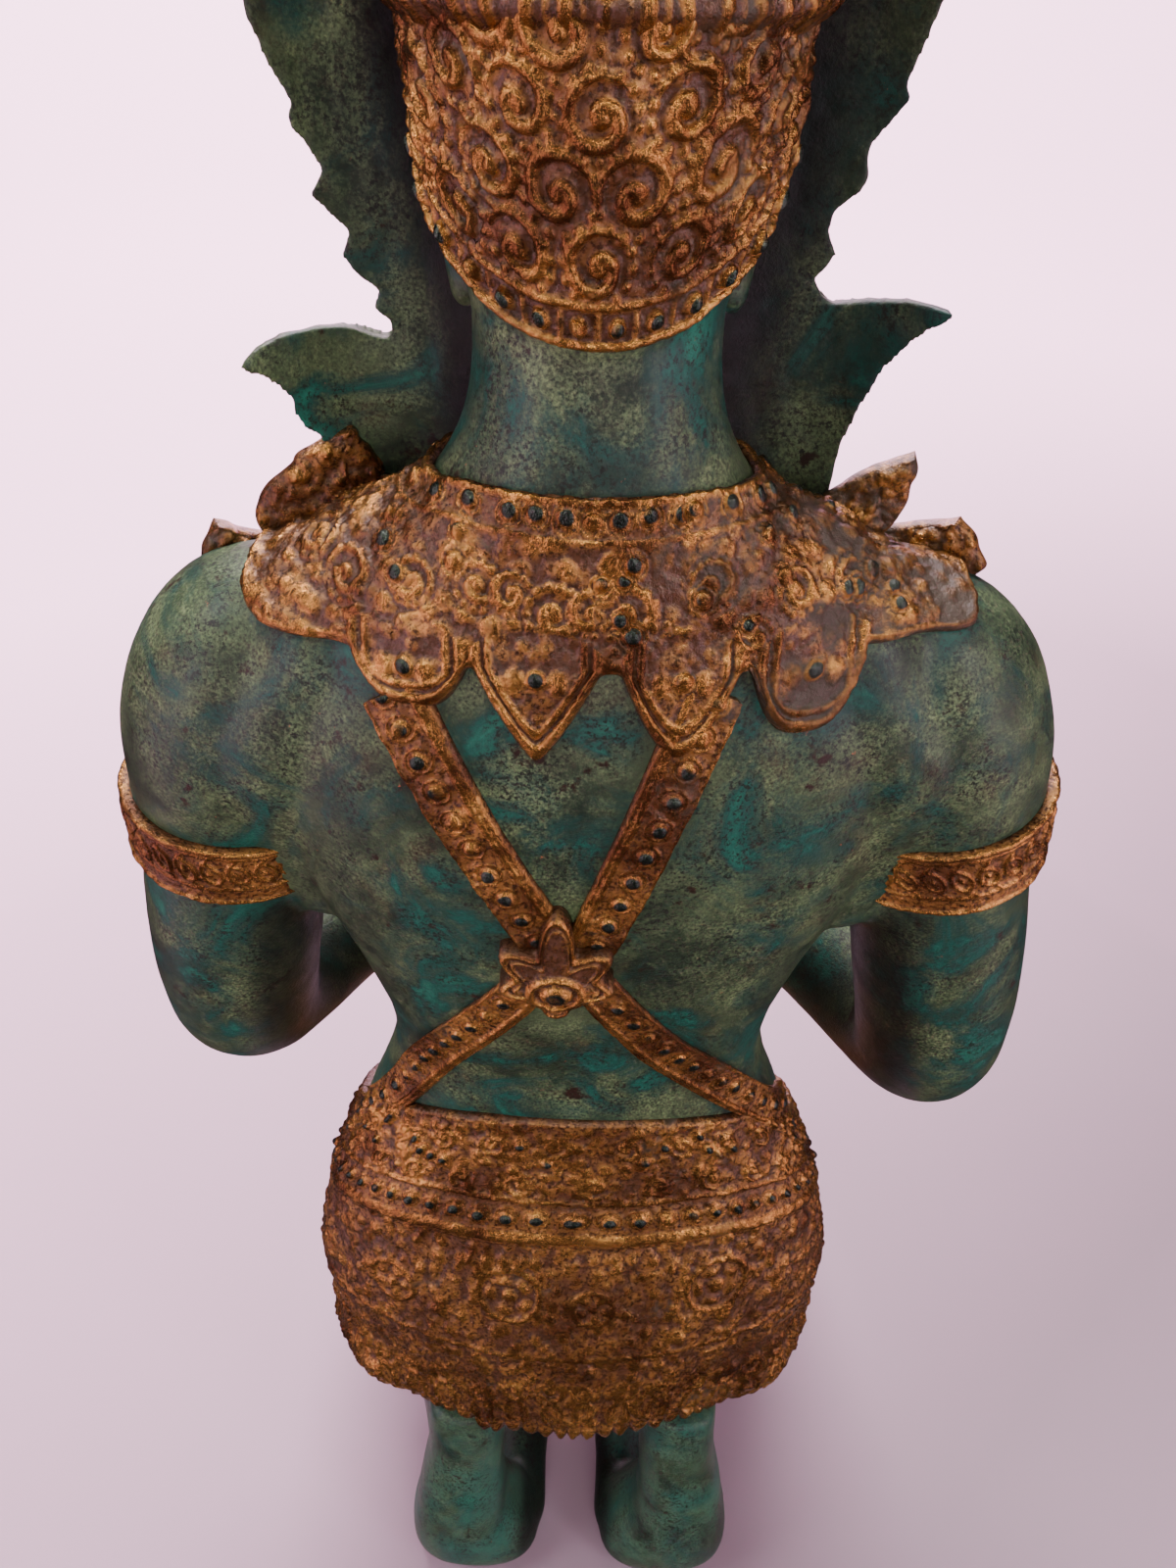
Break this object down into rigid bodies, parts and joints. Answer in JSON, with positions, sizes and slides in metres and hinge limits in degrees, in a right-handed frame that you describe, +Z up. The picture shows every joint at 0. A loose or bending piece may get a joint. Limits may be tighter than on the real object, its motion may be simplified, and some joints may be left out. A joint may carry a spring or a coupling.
{
  "type": "thepphanom figure",
  "caption": "Kneeling crowned deity with palms pressed together, cast bronze with green patina and gilded ornaments; stands by its own weight.",
  "frame": {"origin": "middle of the footprint, on the surface the figure stands on", "axes": "+Z up; the figure faces -Y; +X is the figure's left"},
  "size_m": [0.1746, 0.147, 0.492],
  "materials": {
    "patinated_bronze": "cast bronze with a waxed mottled green, olive and dark brown patina",
    "worn_gilding": "worn gilding, copper brown with bright gold edges and dark recesses"
  },
  "bodies": {
    "root": {"thepphanom_figure": "patinated_bronze"}
  },
  "joints": []
}
